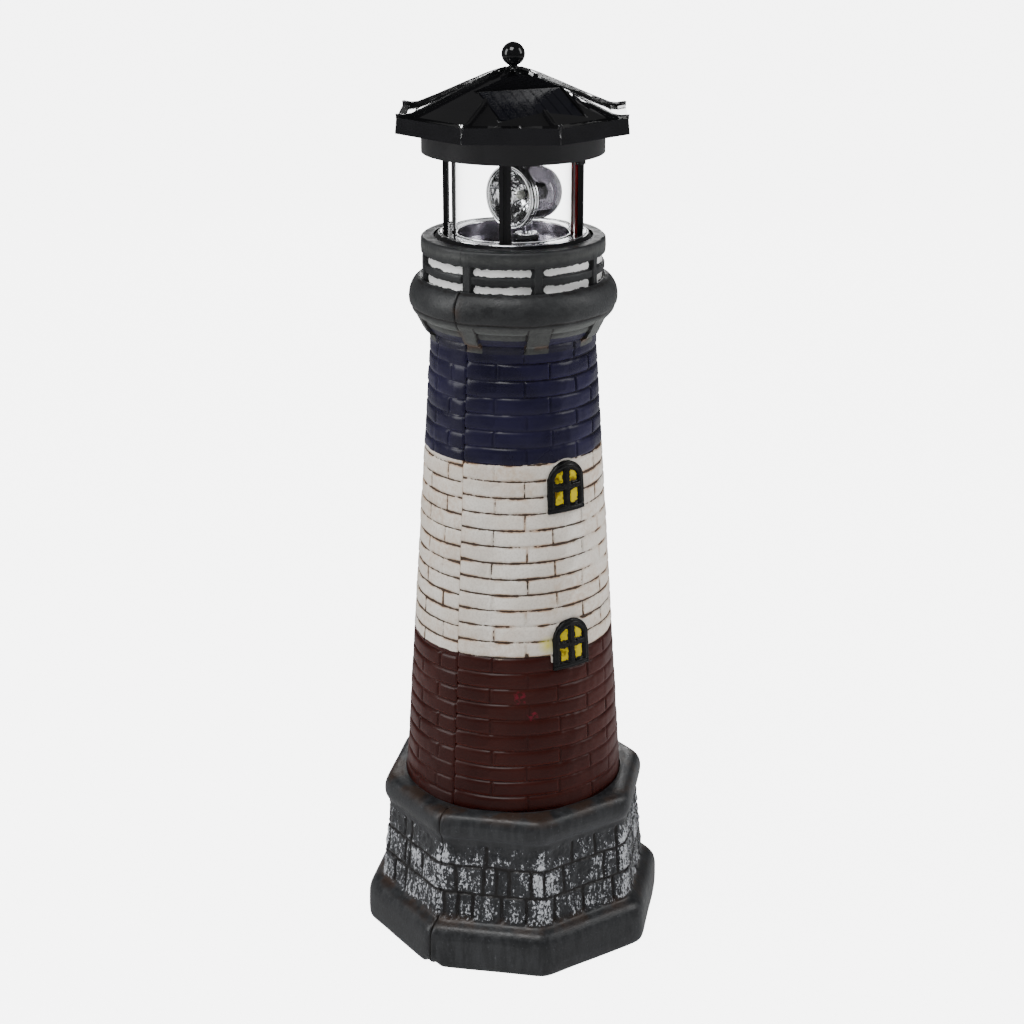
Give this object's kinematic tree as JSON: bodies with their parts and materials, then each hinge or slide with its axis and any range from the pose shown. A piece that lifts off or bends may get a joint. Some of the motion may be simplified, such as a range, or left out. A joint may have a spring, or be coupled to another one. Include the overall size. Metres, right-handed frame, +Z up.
{
  "type": "garden lighthouse ornament",
  "caption": "Free-standing moulded lighthouse with an eight-sided base, brick cone and gallery, holding a lift-out solar lantern with a motor-turned beacon.",
  "frame": {"origin": "centre of the underside, on the ground", "axes": "+Z up the tower, the windows face -Y"},
  "size_m": [0.1608, 0.1608, 0.4928],
  "materials": {
    "painted_tower": "hand-painted moulded plastic, grey, dark blue, off-white and dark red bands",
    "plug_rubber": "soft",
    "black_plastic": "glossy moulding",
    "screw_steel": "plated",
    "motor_steel": "satin",
    "cell_sleeve": "shrunk sleeve",
    "spring_brass": "bright",
    "gear_plastic": "natural nylon",
    "chromed": "vacuum metallised",
    "clear_plastic": "clear",
    "led_resin": "clear resin",
    "led_cream": "satin",
    "smoked_plastic": "smoked clear",
    "red_sleeve": "insulation",
    "black_sleeve": "insulation",
    "panel_black": "resin-coated board",
    "cell_blue": "silicon under resin",
    "board_green": "solder mask",
    "chip_black": "moulded"
  },
  "bodies": {
    "tower": {"shell_front": "painted_tower", "shell_rear": "painted_tower", "base_plug": "plug_rubber"},
    "lantern": {"lantern_base": "black_plastic", "base_cover": "black_plastic", "cover_screws": "screw_steel", "battery_door": "black_plastic", "door_screw": "screw_steel", "battery": "cell_sleeve", "contact_plus": "spring_brass", "contact_minus": "spring_brass", "gear_plate": "gear_plastic", "plate_screws": "screw_steel", "motor": "motor_steel", "idler_pin": "screw_steel", "brush_block": "spring_brass", "hub_bush": "black_plastic", "reflector_tray": "chromed", "lens_tube": "clear_plastic", "post_1": "black_plastic", "post_2": "black_plastic", "post_3": "black_plastic", "post_4": "black_plastic", "wire_red": "red_sleeve", "wire_black": "black_sleeve", "collar": "black_plastic", "post_screws": "screw_steel", "roof": "black_plastic", "roof_screws": "screw_steel", "finial": "black_plastic", "solar_board": "panel_black", "solar_cells": "cell_blue", "circuit_board": "board_green", "board_parts": "chip_black", "switch_body": "motor_steel"},
    "switch": {"switch_slider": "black_plastic"},
    "pinion": {"motor_shaft": "screw_steel", "motor_pinion": "gear_plastic"},
    "idler": {"idler_gear": "gear_plastic"},
    "beacon": {"spindle": "screw_steel", "drive_gear": "gear_plastic", "slip_rings": "spring_brass", "thrust_washer": "gear_plastic", "stalk": "chromed", "beacon_housing": "chromed", "beacon_bezel": "chromed", "beacon_lens": "clear_plastic", "beacon_reflector": "chromed", "beacon_led": "led_resin", "led_holder": "led_cream", "beacon_dome": "smoked_plastic"}
  },
  "joints": [
    {"name": "lantern_lift", "type": "slide", "parent": "tower", "child": "lantern", "axis": [0, 0, 1], "range_m": [0, 0.05]},
    {"name": "beacon_spin", "type": "hinge", "parent": "lantern", "child": "beacon", "pos_m": [0.0056, -0.00385, 0.4], "axis": [0, 0, 1], "continuous": true},
    {"name": "idler_spin", "type": "hinge", "parent": "lantern", "child": "idler", "pos_m": [0.0214, 0.00368, 0.383], "axis": [0, 0, 1], "continuous": true},
    {"name": "pinion_spin", "type": "hinge", "parent": "lantern", "child": "pinion", "pos_m": [0.02274, -0.01025, 0.383], "axis": [0, 0, 1], "continuous": true},
    {"name": "switch_slide", "type": "slide", "parent": "lantern", "child": "switch", "axis": [0.9426, 0.3338, 0], "range_m": [0, 0.0025]}
  ],
  "couplings": [
    {"joint": "idler_spin", "follows": "beacon_spin", "ratio": -4},
    {"joint": "pinion_spin", "follows": "beacon_spin", "ratio": 12}
  ]
}
